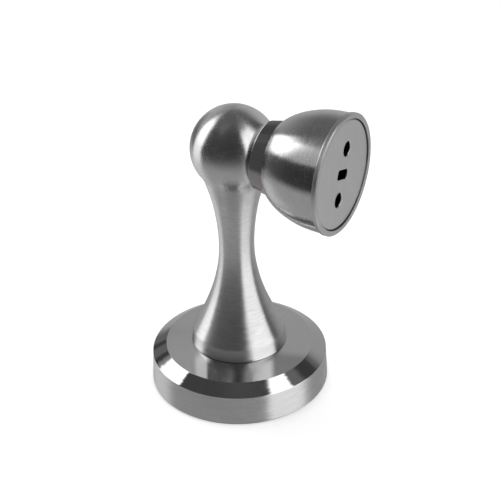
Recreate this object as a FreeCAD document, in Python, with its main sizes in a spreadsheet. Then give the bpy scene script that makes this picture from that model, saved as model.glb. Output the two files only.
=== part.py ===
import FreeCAD, Part
import Sketcher
import math
import os

# Magnetic floor door holder, millimetres, +Z up.
# Origin: centre of the base's underside, on the floor. The catch axis runs level
# along +X through the centre of the ball, from the ball out to the door.
#
# Floor unit: base flange on a screwed-down floor plate, turned column with a ball
# head, pot magnet let into a flat on the ball.
# Door unit: bell-shaped cup closed by a mounting plate, with a spring-loaded strike
# disc that stands out of the small end and is held by the magnet.
#
# Pieces on the catch axis are drawn with their own Z along that axis (station 0 at
# the ball's centre) and laid over by their Placement. Their front is the end
# towards the ball, their back the end towards the door.

Vector = FreeCAD.Vector
Constraint = Sketcher.Constraint
doc = FreeCAD.newDocument("FloorDoorHolder")

# ---------------------------------------------------------------- driving sheet
# (alias, value or formula on earlier rows, note)
ROWS = [
    # base flange
    ("base_radius", 25.0, "base flange, radius at the floor"),
    ("base_edge_break", 0.4, "break of the bottom edge"),
    ("base_side_radius", 24.65, "radius at the top of the drafted side"),
    ("base_side_height", 8.85, "height of the drafted side"),
    ("base_bevel_radius", 20.75, "inner radius of the polished bevel"),
    ("base_bevel_height", 11.45, "height of the bevel's inner edge"),
    ("seat_height", 12.65, "height of the flat seat under the column"),
    ("seat_radius", 13.5, "outer radius of the flat seat"),
    ("recess_radius", 9.05, "locating recess for the column spigot"),
    ("recess_floor", 10.6, "height of the recess floor"),
    ("base_bolt_hole", 3.3, "clearance hole for the column bolt, radius"),
    ("cavity_radius", 20.2, "underside cavity, radius"),
    ("cavity_height", 8.0, "underside cavity, height"),
    ("rim_hole", 2.05, "grub screw hole in the rim, radius"),
    ("grub_height", 2.8, "height of the grub screw above the floor"),
    # floor plate
    ("plate_radius", "cavity_radius - 0.2", "floor plate, radius"),
    ("plate_height", 5.0, "floor plate, thickness"),
    ("plate_bore", 7.2, "floor plate, radius of the centre hole"),
    ("plate_groove_floor", 18.8, "floor plate, radius at the bottom of the rim groove"),
    ("plate_groove_half", 1.6, "floor plate, half width of the rim groove"),
    ("floor_hole_circle", 13.5, "floor screw holes, radius of their circle"),
    ("floor_hole", 2.25, "floor screw holes, radius"),
    ("floor_sink", 4.3, "floor screw countersinks, radius at the top"),
    ("floor_sink_start", 2.95, "floor screw countersinks, height where they begin"),
    ("floor_hole_count", 3, "number of floor screws"),
    # grub screw
    ("grub_radius", "rim_hole - 0.05", "grub screw, radius"),
    ("grub_tip", 19.4, "grub screw, distance of its tip from the centre"),
    ("grub_cone", 20.6, "grub screw, distance where its cone begins"),
    ("grub_end", 24.2, "grub screw, distance of its outer end"),
    ("grub_point", 0.5, "grub screw, radius of its flat point"),
    ("grub_socket", 1.0, "grub screw, half width across the socket's flats"),
    ("grub_socket_depth", 1.9, "grub screw, socket depth"),
    # column
    ("spigot_radius", "recess_radius - 0.1", "column spigot, radius"),
    ("spigot_bottom", "recess_floor + 0.1", "column spigot, height of its lower face"),
    ("spigot_chamfer", 0.3, "column spigot, chamfer"),
    ("foot_radius", "seat_radius - 0.1", "foot, radius at the bottom"),
    ("foot_break", 0.22, "foot, break of its lower edge"),
    ("crease_radius", 12.8, "radius at the crease above the foot"),
    ("crease_height", 16.4, "height of the crease above the foot"),
    ("crease_round", 1.2, "rounding of the crease"),
    ("flare_1_r", 8.76, "hourglass curve, control point 1, radius"),
    ("flare_1_z", 24.30, "hourglass curve, control point 1, height"),
    ("flare_2_r", 5.77, "hourglass curve, control point 2, radius"),
    ("flare_2_z", 33.38, "hourglass curve, control point 2, height"),
    ("flare_3_r", 4.41, "hourglass curve, control point 3, radius"),
    ("flare_3_z", 43.84, "hourglass curve, control point 3, height"),
    ("flare_4_r", 5.97, "hourglass curve, control point 4, radius"),
    ("flare_4_z", 56.66, "hourglass curve, control point 4, height"),
    ("flare_5_r", 7.69, "hourglass curve, control point 5, radius"),
    ("flare_5_z", 62.29, "hourglass curve, control point 5, height"),
    ("flare_6_r", 8.66, "hourglass curve, control point 6, radius"),
    ("flare_6_z", 65.80, "hourglass curve, control point 6, height"),
    ("neck_r", 9.6678, "where the hourglass runs into the ball, radius"),
    ("neck_z", 67.1760, "where the hourglass runs into the ball, height"),
    ("ball_radius", 11.95, "ball head, radius"),
    ("ball_height", 74.2, "height of the ball's centre, and of the catch axis"),
    ("tap_radius", 3.05, "column bolt bore, radius"),
    ("tap_top", 30.0, "column bolt bore, height of its end"),
    ("tap_cone", 31.7, "column bolt bore, height of the drill point"),
    ("flat_station", 8.95, "flat on the ball, distance from the ball's centre"),
    ("flat_reach", 14.0, "sweep of the cutter that makes the flat"),
    ("flat_far", 20.0, "outer end of that cutter"),
    ("pocket_radius", 6.2, "magnet pocket, radius"),
    ("pocket_floor", 3.2, "magnet pocket, distance of its floor from the ball's centre"),
    ("pocket_break", 0.3, "magnet pocket, chamfer of its mouth"),
    # column bolt and its washers
    ("bolt_radius", "tap_radius - 0.05", "column bolt, thread radius"),
    ("bolt_head_radius", 5.25, "column bolt, head radius"),
    ("bolt_crown_radius", 2.9, "column bolt, flat crown of the button head, radius"),
    ("bolt_bottom", 1.5, "column bolt, lowest point of the head"),
    ("bolt_skirt", 4.1, "column bolt, height of the head's widest edge"),
    ("bolt_seat", 4.8, "column bolt, underside of the head"),
    ("bolt_top", 24.8, "column bolt, height of the thread's end"),
    ("bolt_end_chamfer", 0.5, "column bolt, chamfer of the thread's end"),
    ("bolt_socket", 2.0, "column bolt, half width across the socket's flats"),
    ("bolt_socket_depth", 2.0, "column bolt, socket depth"),
    ("washer_bore", "bolt_radius + 0.2", "column washers, inner radius"),
    ("flat_washer_radius", 6.0, "flat washer, outer radius"),
    ("flat_washer_bottom", "cavity_height - 1.6", "flat washer, lower face"),
    ("lock_washer_radius", 5.9, "lock washer, outer radius"),
    ("lock_washer_sweep", 348.0, "lock washer, degrees of ring left beside the split"),
    # pot magnet
    ("pot_radius", "pocket_radius - 0.05", "pole cup, outer radius"),
    ("pot_inner", 5.2, "pole cup, inner radius"),
    ("pot_floor", 4.6, "pole cup, station of the inside of its floor"),
    ("pot_face", 9.03, "pole cup, station of its face"),
    ("pot_break", 0.2, "pole cup, edge break"),
    ("sleeve_outer", "pot_inner - 0.05", "magnet sleeve, outer radius"),
    ("sleeve_inner", 4.25, "magnet sleeve, inner radius"),
    ("sleeve_back", "pot_floor + 0.05", "magnet sleeve, station of its end in the cup"),
    ("sleeve_face", 8.8, "magnet sleeve, station of its face"),
    ("magnet_radius", "sleeve_inner - 0.05", "magnet, radius"),
    ("magnet_back", "pot_floor + 0.05", "magnet, station of its end in the cup"),
    ("magnet_face", 8.95, "magnet, station of its face"),
    ("magnet_break", 0.2, "magnet, edge break"),
    # catch cup
    ("nose_bore", 10.4, "cup, bore that the strike disc runs in, radius"),
    ("nose_station", 13.85, "cup, station of the small end"),
    ("nose_radius", 10.8, "cup, outer radius at the small end"),
    ("nose_break", 0.14, "cup, edge break at the small end"),
    ("bell_1_r", 13.10, "bell curve, control point 1, radius"),
    ("bell_1_s", 16.35, "bell curve, control point 1, station"),
    ("bell_2_r", 15.61, "bell curve, control point 2, radius"),
    ("bell_2_s", 22.24, "bell curve, control point 2, station"),
    ("bell_3_r", 16.28, "bell curve, control point 3, radius"),
    ("bell_3_s", 26.85, "bell curve, control point 3, station"),
    ("bell_end_r", 16.33, "bell curve, end at the lip, radius"),
    ("bell_end_s", 31.25, "bell curve, end at the lip, station"),
    ("lip_radius", 16.66, "lip bead, radius"),
    ("lip_start", 31.6, "lip bead, station where it stands full"),
    ("lip_end", 32.45, "lip bead, station where it turns over"),
    ("rim_radius", 16.38, "rim face, outer radius"),
    ("rim_station", 32.75, "rim face, station"),
    ("rim_inner_break", 0.2, "rim face, inner edge break"),
    ("seat_bore", 15.05, "cup, thread bore for the mounting plate, radius"),
    ("seat_station", 28.95, "cup, station of the shoulder in front of the plate"),
    ("chamber_radius", 14.2, "cup, rear chamber, radius"),
    ("chamber_taper", 24.8, "cup, station where the rear chamber starts to narrow"),
    ("web_outer", 13.2, "cup, radius where the rear chamber meets the web"),
    ("web_front", 20.2, "cup, station of the web's front"),
    ("web_back", 22.0, "cup, station of the web's back"),
    ("web_bore", 3.45, "cup, bore of the web, radius"),
    # mounting plate
    ("mount_radius", "seat_bore - 0.07", "mounting plate, radius"),
    ("mount_back", "seat_station + 0.05", "mounting plate, station of the inner face"),
    ("mount_face", 32.35, "mounting plate, station of the outer face"),
    ("mount_break", 0.24, "mounting plate, edge break"),
    ("door_hole_offset", 6.95, "door screw holes, distance from the axis"),
    ("door_hole", 2.1, "door screw holes, radius"),
    ("door_sink", 4.1, "door screw countersinks, radius at the inner face"),
    ("door_sink_end", 31.0, "door screw countersinks, station where they end"),
    ("door_hole_count", 2, "number of door screws"),
    ("slot_half_length", 3.0, "driver slot, half length"),
    ("slot_half_width", 1.4, "driver slot, half width"),
    ("slot_corner", 0.7, "driver slot, corner radius"),
    ("plate_roll", -21.4, "turn of the hole line about the catch axis, degrees"),
    # strike disc
    ("disc_face", "pot_face + 0.02", "strike disc, station of the face on the magnet"),
    ("disc_face_radius", 8.95, "strike disc, radius of that face"),
    ("disc_bevel_radius", 9.55, "strike disc, radius behind the bevel"),
    ("disc_bevel_station", 9.6, "strike disc, station behind the bevel"),
    ("disc_radius", "nose_bore - 0.07", "strike disc, running radius"),
    ("disc_taper_end", 13.4, "strike disc, station where the taper ends"),
    ("disc_back", 17.0, "strike disc, station of the skirt's end"),
    ("disc_hollow", 8.7, "strike disc, inner radius of the skirt"),
    ("disc_web", 11.9, "strike disc, station of the inside of its face"),
    ("disc_boss", 4.0, "strike disc, boss radius"),
    ("disc_boss_end", 14.5, "strike disc, station of the boss's end"),
    ("disc_tap", 1.55, "strike disc, thread bore radius"),
    ("disc_tap_end", 10.4, "strike disc, station of the thread bore's end"),
    # strike screw and what it carries
    ("screw_thread", "disc_tap - 0.05", "strike screw, thread radius"),
    ("screw_tip", 10.7, "strike screw, station of the tip"),
    ("screw_shank", 2.0, "strike screw, shoulder radius"),
    ("screw_head_radius", 3.3, "strike screw, head radius"),
    ("screw_seat", 23.62, "strike screw, station under the head"),
    ("screw_end", 25.4, "strike screw, station of the head's face"),
    ("screw_head_break", 0.35, "strike screw, edge break of the head"),
    ("screw_slot_half", 0.4, "strike screw, half width of the driver slot"),
    ("screw_slot_depth", 0.9, "strike screw, depth of the driver slot"),
    ("stop_bore", "screw_shank + 0.05", "stop washer, inner radius"),
    ("stop_radius", 4.5, "stop washer, outer radius"),
    ("stop_front", "screw_seat - 0.6", "stop washer, station of the front"),
    # guide bush, bumper, spring seat
    ("bush_bore", "screw_shank + 0.05", "guide bush, bore radius"),
    ("bush_radius", "web_bore - 0.03", "guide bush, sleeve radius"),
    ("bush_flange", 4.8, "guide bush, flange radius"),
    ("bush_front", 19.4, "guide bush, station of the flange's front"),
    ("bumper_bore", 2.5, "bumper ring, inner radius"),
    ("bumper_radius", 4.7, "bumper ring, outer radius"),
    ("bumper_back", 23.0, "bumper ring, station of the back"),
    ("bumper_round", 0.25, "bumper ring, edge break"),
    ("spring_seat_bore", 5.0, "spring seat washer, inner radius"),
    ("spring_seat_radius", 8.4, "spring seat washer, outer radius"),
    ("spring_seat_front", "web_front - 0.5", "spring seat washer, station of the front"),
    # buffer spring
    ("spring_mean", 7.0, "buffer spring, mean radius"),
    ("spring_wire", 0.4, "buffer spring, wire radius"),
    ("spring_front", "disc_web + 0.03", "buffer spring, station of its front end"),
    ("spring_back", "spring_seat_front - 0.03", "buffer spring, station of its rear end"),
    ("spring_turns", 4.0, "buffer spring, active turns"),
    ("spring_end_rise", "1.04 * spring_wire", "buffer spring, rise of a closed half turn"),
    ("spring_mid_rise",
     "(spring_back - spring_front - 2 * spring_wire - 4 * spring_end_rise)"
     " / (2 * spring_turns)",
     "buffer spring, rise of an active half turn"),
    # shared
    ("axis_far", 60.0, "length of drawn axes"),
]

sheet = doc.addObject("Spreadsheet::Sheet", "Dims")
for row, (alias, content, note) in enumerate(ROWS, start=1):
    sheet.set("A%d" % row, note)
    sheet.set("B%d" % row, "=" + content if isinstance(content, str) else str(content))
    sheet.setAlias("B%d" % row, alias)
doc.recompute()
DIMS = {alias: float(getattr(sheet, alias)) for alias, _, _ in ROWS}


def value_of(text):
    """Value of a sum such as 'base_radius - base_edge_break'."""
    total, sign = 0.0, 1.0
    for word in text.split():
        if word in ("+", "-"):
            sign = 1.0 if word == "+" else -1.0
        else:
            total += sign * (DIMS[word] if word in DIMS else float(word))
            sign = 1.0
    return total


def formula_of(text):
    """The same sum, written against the sheet."""
    return " ".join("Dims." + word if word in DIMS else word for word in text.split())


def point_of(x_text, y_text):
    return Vector(value_of(x_text), value_of(y_text), 0)


# ---------------------------------------------------------------- sketch helpers
# Sketcher's numbers for the points of a geometry, and for the sketch's own axes
START, END, CENTRE = 1, 2, 3
H_AXIS, V_AXIS = -1, -2
UP = Vector(0, 0, 1)


def origin_feature(body, role):
    return next(item for item in body.Origin.OriginFeatures if item.Role == role)


def new_sketch(body, role, name, lift=None):
    """Sketch on an origin plane of the body, raised by the sum in lift."""
    sketch = body.newObject("Sketcher::SketchObject", name)
    sketch.AttachmentSupport = [(origin_feature(body, role), "")]
    sketch.MapMode = "FlatFace"
    if lift is not None:
        offset = Vector(0, 0, value_of(lift))
        sketch.AttachmentOffset = FreeCAD.Placement(offset, FreeCAD.Rotation())
        sketch.setExpression("AttachmentOffset.Base.z", formula_of(lift))
    return sketch


def dimension(sketch, text, kind, *where):
    """Adds a dimension constraint that follows the sheet."""
    index = sketch.addConstraint(Constraint(kind, *where, value_of(text)))
    sketch.setExpression("Constraints[%d]" % index, formula_of(text))


def pin(sketch, geo, point, x_text, y_text):
    """Ties a sketch point to the sheet, or to an axis where its coordinate is 0.
    None leaves that coordinate free."""
    for kind, axis, text in (("DistanceX", V_AXIS, x_text), ("DistanceY", H_AXIS, y_text)):
        if text == "0":
            sketch.addConstraint(Constraint("PointOnObject", geo, point, axis))
        elif text is not None:
            dimension(sketch, text, kind, geo, point)


def add_line(sketch, start, end, construction=False):
    return sketch.addGeometry(Part.LineSegment(start, end), construction)


def add_arc(sketch, start, end, centre_x, centre_y, radius):
    """Counter-clockwise arc with its centre and radius dimensioned."""
    centre = point_of(centre_x, centre_y)
    start_angle = math.atan2(start.y - centre.y, start.x - centre.x)
    end_angle = math.atan2(end.y - centre.y, end.x - centre.x)
    if end_angle < start_angle:
        end_angle += 2 * math.pi
    circle = Part.Circle(centre, UP, value_of(radius))
    arc = sketch.addGeometry(Part.ArcOfCircle(circle, start_angle, end_angle), False)
    pin(sketch, arc, CENTRE, centre_x, centre_y)
    dimension(sketch, radius, "Radius", arc)
    return arc


def add_spline(sketch, texts):
    """Cubic B-spline; the control points between its two ends are dimensioned."""
    poles = [point_of(*text) for text in texts]
    curve = Part.BSplineCurve()
    curve.buildFromPoles(poles, False, 3)
    spline = sketch.addGeometry(curve, False)
    first = None
    for index, pole in enumerate(poles):
        # a construction circle stands for each control point, its radius for the weight
        handle = sketch.addGeometry(Part.Circle(pole, UP, 0.5), True)
        if first is None:
            first = handle
            sketch.addConstraint(Constraint("Weight", handle, 1.0))
        else:
            sketch.addConstraint(Constraint("Equal", first, handle))
        sketch.addConstraint(Constraint(
            "InternalAlignment:Sketcher::BSplineControlPoint", handle, CENTRE, spline, index))
        if 0 < index < len(poles) - 1:
            pin(sketch, handle, CENTRE, *texts[index])
    return spline


def closed_profile(sketch, points):
    """Closed outline. Each entry is (x, y), or (x, y, kind, data): kind says how the
    outline reaches the next entry. 'spline' gives the control points between the two,
    'arc' gives (centre x, centre y, radius) of a counter-clockwise arc."""
    kinds = [entry[2] if len(entry) > 2 else "line" for entry in points]
    following = points[1:] + points[:1]
    segments = []
    for kind, entry, target in zip(kinds, points, following):
        start, end = point_of(*entry[:2]), point_of(*target[:2])
        if kind == "line":
            segments.append(add_line(sketch, start, end))
        elif kind == "arc":
            segments.append(add_arc(sketch, start, end, *entry[3]))
        else:
            texts = [entry[:2]] + entry[3] + [target[:2]]
            segments.append(add_spline(sketch, texts))
    for segment, neighbour in zip(segments, segments[1:] + segments[:1]):
        sketch.addConstraint(Constraint("Coincident", segment, END, neighbour, START))
    for index, segment in enumerate(segments):
        x_text, y_text = points[index][:2]
        # the arc's own dimensions already fix one coordinate of each of its ends
        if "arc" in (kinds[index], kinds[index - 1]):
            if x_text == "0":
                y_text = None
            else:
                x_text = None
        pin(sketch, segment, START, x_text, y_text)
    return sketch


def hexagon(sketch, half_flat):
    """Regular hexagon about the sketch origin, flats at +/-Y."""
    radius = DIMS[half_flat] / math.cos(math.pi / 6)
    angles = [k * math.pi / 3 for k in range(6)]
    corners = [Vector(radius * math.cos(a), radius * math.sin(a), 0) for a in angles]
    sides = [add_line(sketch, corners[k], corners[(k + 1) % 6]) for k in range(6)]
    ring = sketch.addGeometry(Part.Circle(Vector(0, 0, 0), UP, radius), True)
    sketch.addConstraint(Constraint("Coincident", ring, CENTRE, -1, START))
    for k in range(6):
        sketch.addConstraint(Constraint("Coincident", sides[k], END, sides[(k + 1) % 6], START))
        sketch.addConstraint(Constraint("PointOnObject", sides[k], START, ring))
        if k:
            sketch.addConstraint(Constraint("Equal", sides[0], sides[k]))
    sketch.addConstraint(Constraint("PointOnObject", sides[0], START, H_AXIS))
    index = sketch.addConstraint(Constraint("Radius", ring, radius))
    sketch.setExpression("Constraints[%d]" % index, "Dims.%s / cos(30)" % half_flat)


# ---------------------------------------------------------------- body helpers
def turned(label, points, sweep=None):
    """A turned piece: outline (radius, station) swept about the body's own Z."""
    body = doc.addObject("PartDesign::Body", label)
    body.Label = label
    sketch = closed_profile(new_sketch(body, "XZ_Plane", label + "_outline"), points)
    turning = body.newObject("PartDesign::Revolution", label + "_turning")
    turning.Profile = sketch
    turning.ReferenceAxis = (sketch, ["V_Axis"])
    turning.Angle = 360.0
    if sweep is not None:
        turning.setExpression("Angle", "Dims." + sweep)
    body.Tip = turning
    doc.recompute()
    return body


def finish_cut(body, cut):
    """Makes the cut the body's tip and insists that it takes material away."""
    before = body.Shape.Volume
    body.Tip = cut
    doc.recompute()
    if not body.Shape.Volume < before - 1e-4:
        raise RuntimeError("%s removed nothing from %s" % (cut.Name, body.Label))
    return cut


def turned_cut(body, name, points, axis_start, axis_end):
    """Groove: outline in the body's XZ plane swept about a line in the same sketch."""
    sketch = closed_profile(new_sketch(body, "XZ_Plane", name + "_outline"), points)
    line = add_line(sketch, point_of(*axis_start), point_of(*axis_end), construction=True)
    pin(sketch, line, START, *axis_start)
    pin(sketch, line, END, *axis_end)
    doc.recompute()
    cut = body.newObject("PartDesign::Groove", name)
    cut.Profile = sketch
    cut.ReferenceAxis = (sketch, ["Axis0"])
    cut.Angle = 360.0
    return finish_cut(body, cut)


def pocket(body, name, sketch, depth=None, reverse=False):
    """Cuts against the sketch's normal, or along it if reverse; no depth goes through."""
    doc.recompute()
    cut = body.newObject("PartDesign::Pocket", name)
    cut.Profile = sketch
    if depth is None:
        cut.Type = "ThroughAll"
    else:
        cut.Length = value_of(depth)
        cut.setExpression("Length", formula_of(depth))
    cut.Reversed = reverse
    return finish_cut(body, cut)


def polar_pattern(body, name, feature, count):
    """Repeats a cut evenly about the body's own Z."""
    pattern = body.newObject("PartDesign::PolarPattern", name)
    pattern.Originals = [feature]
    pattern.Axis = (origin_feature(body, "Z_Axis"), [""])
    pattern.Angle = 360.0
    pattern.Occurrences = int(DIMS[count])
    pattern.setExpression("Occurrences", "Dims." + count)
    return finish_cut(body, pattern)


def fillet(body, name, is_wanted, edge_count, size):
    """Fillets the edges of the tip that is_wanted picks, edge_count of them."""
    tip = body.Tip
    edges = ["Edge%d" % i for i, edge in enumerate(tip.Shape.Edges, start=1) if is_wanted(edge)]
    if len(edges) != edge_count:
        raise RuntimeError("%s: %d edges found" % (name, len(edges)))
    rounding = body.newObject("PartDesign::Fillet", name)
    rounding.Base = (tip, edges)
    rounding.Radius = DIMS[size]
    rounding.setExpression("Radius", "Dims." + size)
    body.Tip = rounding
    doc.recompute()


def on_catch_axis(body, roll=0.0):
    """Lays a body's own Z along +X at the height of the ball's centre."""
    turn = FreeCAD.Rotation(Vector(0, 1, 0), 90).multiply(FreeCAD.Rotation(UP, roll))
    body.Placement = FreeCAD.Placement(Vector(0, 0, DIMS["ball_height"]), turn)
    body.setExpression("Placement.Base.z", "Dims.ball_height")
    return body


# ---------------------------------------------------------------- floor unit
def base_flange():
    """Drafted side, flat polished bevel, slightly coned top, flat seat and locating
    recess for the column, hollow underside."""
    body = turned("base_flange", [
        ("cavity_radius", "0"),
        ("base_radius - base_edge_break", "0"),
        ("base_radius", "base_edge_break"),
        ("base_side_radius", "base_side_height"),
        ("base_bevel_radius", "base_bevel_height"),
        ("seat_radius", "seat_height"),
        ("recess_radius", "seat_height"),
        ("recess_radius", "recess_floor"),
        ("base_bolt_hole", "recess_floor"),
        ("base_bolt_hole", "cavity_height"),
        ("cavity_radius", "cavity_height"),
    ])
    # hole for the grub screw, through the rim at -X, the side away from the door
    sketch = new_sketch(body, "YZ_Plane", "rim_hole_sketch")
    circle = Part.Circle(point_of("0", "grub_height"), UP, DIMS["rim_hole"])
    hole = sketch.addGeometry(circle, False)
    pin(sketch, hole, CENTRE, "0", "grub_height")
    dimension(sketch, "rim_hole", "Radius", hole)
    pocket(body, "rim_hole_cut", sketch)
    return body


def floor_plate():
    """Screwed to the floor first; the flange drops over it and the grub screw bears
    in the groove round its edge."""
    body = turned("floor_plate", [
        ("plate_bore", "0"),
        ("plate_radius", "0"),
        ("plate_radius", "grub_height - plate_groove_half"),
        ("plate_groove_floor", "grub_height"),
        ("plate_radius", "grub_height + plate_groove_half"),
        ("plate_radius", "plate_height"),
        ("plate_bore", "plate_height"),
    ])
    hole = turned_cut(body, "floor_screw_hole", [
        ("floor_hole_circle", "0"),
        ("floor_hole_circle + floor_hole", "0"),
        ("floor_hole_circle + floor_hole", "floor_sink_start"),
        ("floor_hole_circle + floor_sink", "plate_height"),
        ("floor_hole_circle", "plate_height"),
    ], ("floor_hole_circle", "0"), ("floor_hole_circle", "axis_far"))
    polar_pattern(body, "floor_screw_holes", hole, "floor_hole_count")
    return body


def base_grub_screw():
    """Cone point inwards, hexagon socket outwards; its own Z points to -X."""
    body = turned("base_grub_screw", [
        ("0", "grub_tip"),
        ("grub_point", "grub_tip"),
        ("grub_radius", "grub_cone"),
        ("grub_radius", "grub_end"),
        ("0", "grub_end"),
    ])
    sketch = new_sketch(body, "XY_Plane", "grub_socket_sketch", lift="grub_end")
    hexagon(sketch, "grub_socket")
    pocket(body, "grub_socket_cut", sketch, depth="grub_socket_depth")
    turn = FreeCAD.Rotation(Vector(0, 1, 0), -90)
    body.Placement = FreeCAD.Placement(Vector(0, 0, DIMS["grub_height"]), turn)
    body.setExpression("Placement.Base.z", "Dims.grub_height")
    return body


def is_crease(edge, tolerance=1e-3):
    """The circle about Z where the foot meets the hourglass."""
    if edge.Degenerated or not isinstance(edge.Curve, Part.Circle):
        return False
    centre = edge.Curve.Center
    return (
        abs(edge.Curve.Radius - DIMS["crease_radius"]) < tolerance
        and abs(centre.z - DIMS["crease_height"]) < tolerance
        and abs(centre.x) < tolerance
        and abs(centre.y) < tolerance
    )


def column():
    """Spigot, foot, hourglass stem and ball head, one turned piece."""
    body = turned("column", [
        ("0", "tap_cone"),
        ("tap_radius", "tap_top"),
        ("tap_radius", "spigot_bottom"),
        ("spigot_radius - spigot_chamfer", "spigot_bottom"),
        ("spigot_radius", "spigot_bottom + spigot_chamfer"),
        ("spigot_radius", "seat_height"),
        ("foot_radius - foot_break", "seat_height"),
        ("foot_radius", "seat_height + foot_break"),
        ("crease_radius", "crease_height", "spline",
         [("flare_%d_r" % k, "flare_%d_z" % k) for k in range(1, 7)]),
        ("neck_r", "neck_z", "arc", ("0", "ball_height", "ball_radius")),
        ("0", "ball_height + ball_radius"),
    ])
    fillet(body, "crease_rounding", is_crease, 1, "crease_round")
    # flat on the ball and the pocket for the pot magnet, turned about the catch axis
    turned_cut(body, "magnet_seat", [
        ("pocket_floor", "ball_height"),
        ("pocket_floor", "ball_height + pocket_radius"),
        ("flat_station - pocket_break", "ball_height + pocket_radius"),
        ("flat_station", "ball_height + pocket_radius + pocket_break"),
        ("flat_station", "ball_height + flat_reach"),
        ("flat_far", "ball_height + flat_reach"),
        ("flat_far", "ball_height"),
    ], ("0", "ball_height"), ("axis_far", "ball_height"))
    return body


def column_bolt():
    """Button-head bolt that draws the column down on the flange from below."""
    body = turned("column_bolt", [
        ("0", "bolt_bottom"),
        ("bolt_crown_radius", "bolt_bottom"),
        ("bolt_head_radius", "bolt_skirt"),
        ("bolt_head_radius", "bolt_seat"),
        ("bolt_radius", "bolt_seat"),
        ("bolt_radius", "bolt_top - bolt_end_chamfer"),
        ("bolt_radius - bolt_end_chamfer", "bolt_top"),
        ("0", "bolt_top"),
    ])
    sketch = new_sketch(body, "XY_Plane", "bolt_socket_sketch", lift="bolt_bottom")
    hexagon(sketch, "bolt_socket")
    pocket(body, "bolt_socket_cut", sketch, depth="bolt_socket_depth", reverse=True)
    return body


def ring(label, bore, radius, low, high, sweep=None):
    """Plain ring of rectangular section."""
    return turned(label, [(bore, low), (radius, low), (radius, high), (bore, high)], sweep)


def column_lock_washer():
    """Split ring between the bolt's head and the flat washer."""
    return ring("column_lock_washer", "washer_bore", "lock_washer_radius",
                "bolt_seat", "flat_washer_bottom", sweep="lock_washer_sweep")


def column_flat_washer():
    """Bears on the ceiling of the flange's cavity."""
    return ring("column_flat_washer", "washer_bore", "flat_washer_radius",
                "flat_washer_bottom", "cavity_height")


def magnet_pole_cup():
    """Steel cup of the pot magnet, in the ball's pocket, open towards the door."""
    return on_catch_axis(turned("magnet_pole_cup", [
        ("0", "pocket_floor"),
        ("pot_radius - pot_break", "pocket_floor"),
        ("pot_radius", "pocket_floor + pot_break"),
        ("pot_radius", "pot_face - pot_break"),
        ("pot_radius - pot_break", "pot_face"),
        ("pot_inner", "pot_face"),
        ("pot_inner", "pot_floor"),
        ("0", "pot_floor"),
    ]))


def magnet_sleeve():
    """Non-magnetic sleeve between the pole cup and the magnet."""
    return on_catch_axis(ring("magnet_sleeve", "sleeve_inner", "sleeve_outer",
                              "sleeve_back", "sleeve_face"))


def magnet():
    """Disc magnet."""
    return on_catch_axis(turned("magnet", [
        ("0", "magnet_back"),
        ("magnet_radius", "magnet_back"),
        ("magnet_radius", "magnet_face - magnet_break"),
        ("magnet_radius - magnet_break", "magnet_face"),
        ("0", "magnet_face"),
    ]))


# ---------------------------------------------------------------- door unit
def catch_cup():
    """Bell-shaped cup: nose bore for the strike disc, inner web with the guide, rear
    chamber, thread bore for the mounting plate, and a small bead round the rim."""
    return on_catch_axis(turned("catch_cup", [
        ("nose_bore", "nose_station + nose_break"),
        ("nose_bore + nose_break", "nose_station"),
        ("nose_radius - nose_break", "nose_station"),
        ("nose_radius", "nose_station + nose_break", "spline",
         [("bell_%d_r" % k, "bell_%d_s" % k) for k in range(1, 4)]),
        ("bell_end_r", "bell_end_s"),
        ("lip_radius", "lip_start"),
        ("lip_radius", "lip_end"),
        ("rim_radius", "rim_station"),
        ("seat_bore + rim_inner_break", "rim_station"),
        ("seat_bore", "rim_station - rim_inner_break"),
        ("seat_bore", "seat_station"),
        ("chamber_radius", "seat_station"),
        ("chamber_radius", "chamber_taper"),
        ("web_outer", "web_back"),
        ("web_bore", "web_back"),
        ("web_bore", "web_front"),
        ("nose_bore", "web_front"),
    ]))


def slot_outline(sketch, half_width, half_length):
    """Rectangle about the sketch origin, long side along Y."""
    closed_profile(sketch, [
        ("0 - " + half_width, "0 - " + half_length),
        (half_width, "0 - " + half_length),
        (half_width, half_length),
        ("0 - " + half_width, half_length),
    ])


def is_slot_corner(edge):
    """An edge along the body's Z at a corner of the driver slot."""
    start, end = edge.Vertexes[0].Point, edge.Vertexes[-1].Point
    return (
        abs(start.x - end.x) < 1e-6
        and abs(start.y - end.y) < 1e-6
        and abs(abs(start.x) - DIMS["slot_half_width"]) < 1e-4
        and abs(abs(start.y) - DIMS["slot_half_length"]) < 1e-4
    )


def mounting_plate():
    """Two door screw holes, countersunk from inside, and a driver slot."""
    body = turned("mounting_plate", [
        ("0", "mount_back"),
        ("mount_radius", "mount_back"),
        ("mount_radius", "mount_face - mount_break"),
        ("mount_radius - mount_break", "mount_face"),
        ("0", "mount_face"),
    ])
    hole = turned_cut(body, "door_screw_hole", [
        ("door_hole_offset", "mount_back"),
        ("door_hole_offset + door_sink", "mount_back"),
        ("door_hole_offset + door_hole", "door_sink_end"),
        ("door_hole_offset + door_hole", "mount_face"),
        ("door_hole_offset", "mount_face"),
    ], ("door_hole_offset", "0"), ("door_hole_offset", "axis_far"))
    polar_pattern(body, "door_screw_holes", hole, "door_hole_count")
    sketch = new_sketch(body, "XY_Plane", "driver_slot_sketch", lift="mount_face")
    slot_outline(sketch, "slot_half_width", "slot_half_length")
    pocket(body, "driver_slot", sketch)
    fillet(body, "driver_slot_corners", is_slot_corner, 4, "slot_corner")
    return on_catch_axis(body, roll=DIMS["plate_roll"])


def guide_bush():
    """Pressed in the web, its flange to the front."""
    return on_catch_axis(turned("guide_bush", [
        ("bush_bore", "bush_front"),
        ("bush_flange", "bush_front"),
        ("bush_flange", "web_front"),
        ("bush_radius", "web_front"),
        ("bush_radius", "web_back"),
        ("bush_bore", "web_back"),
    ]))


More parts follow.
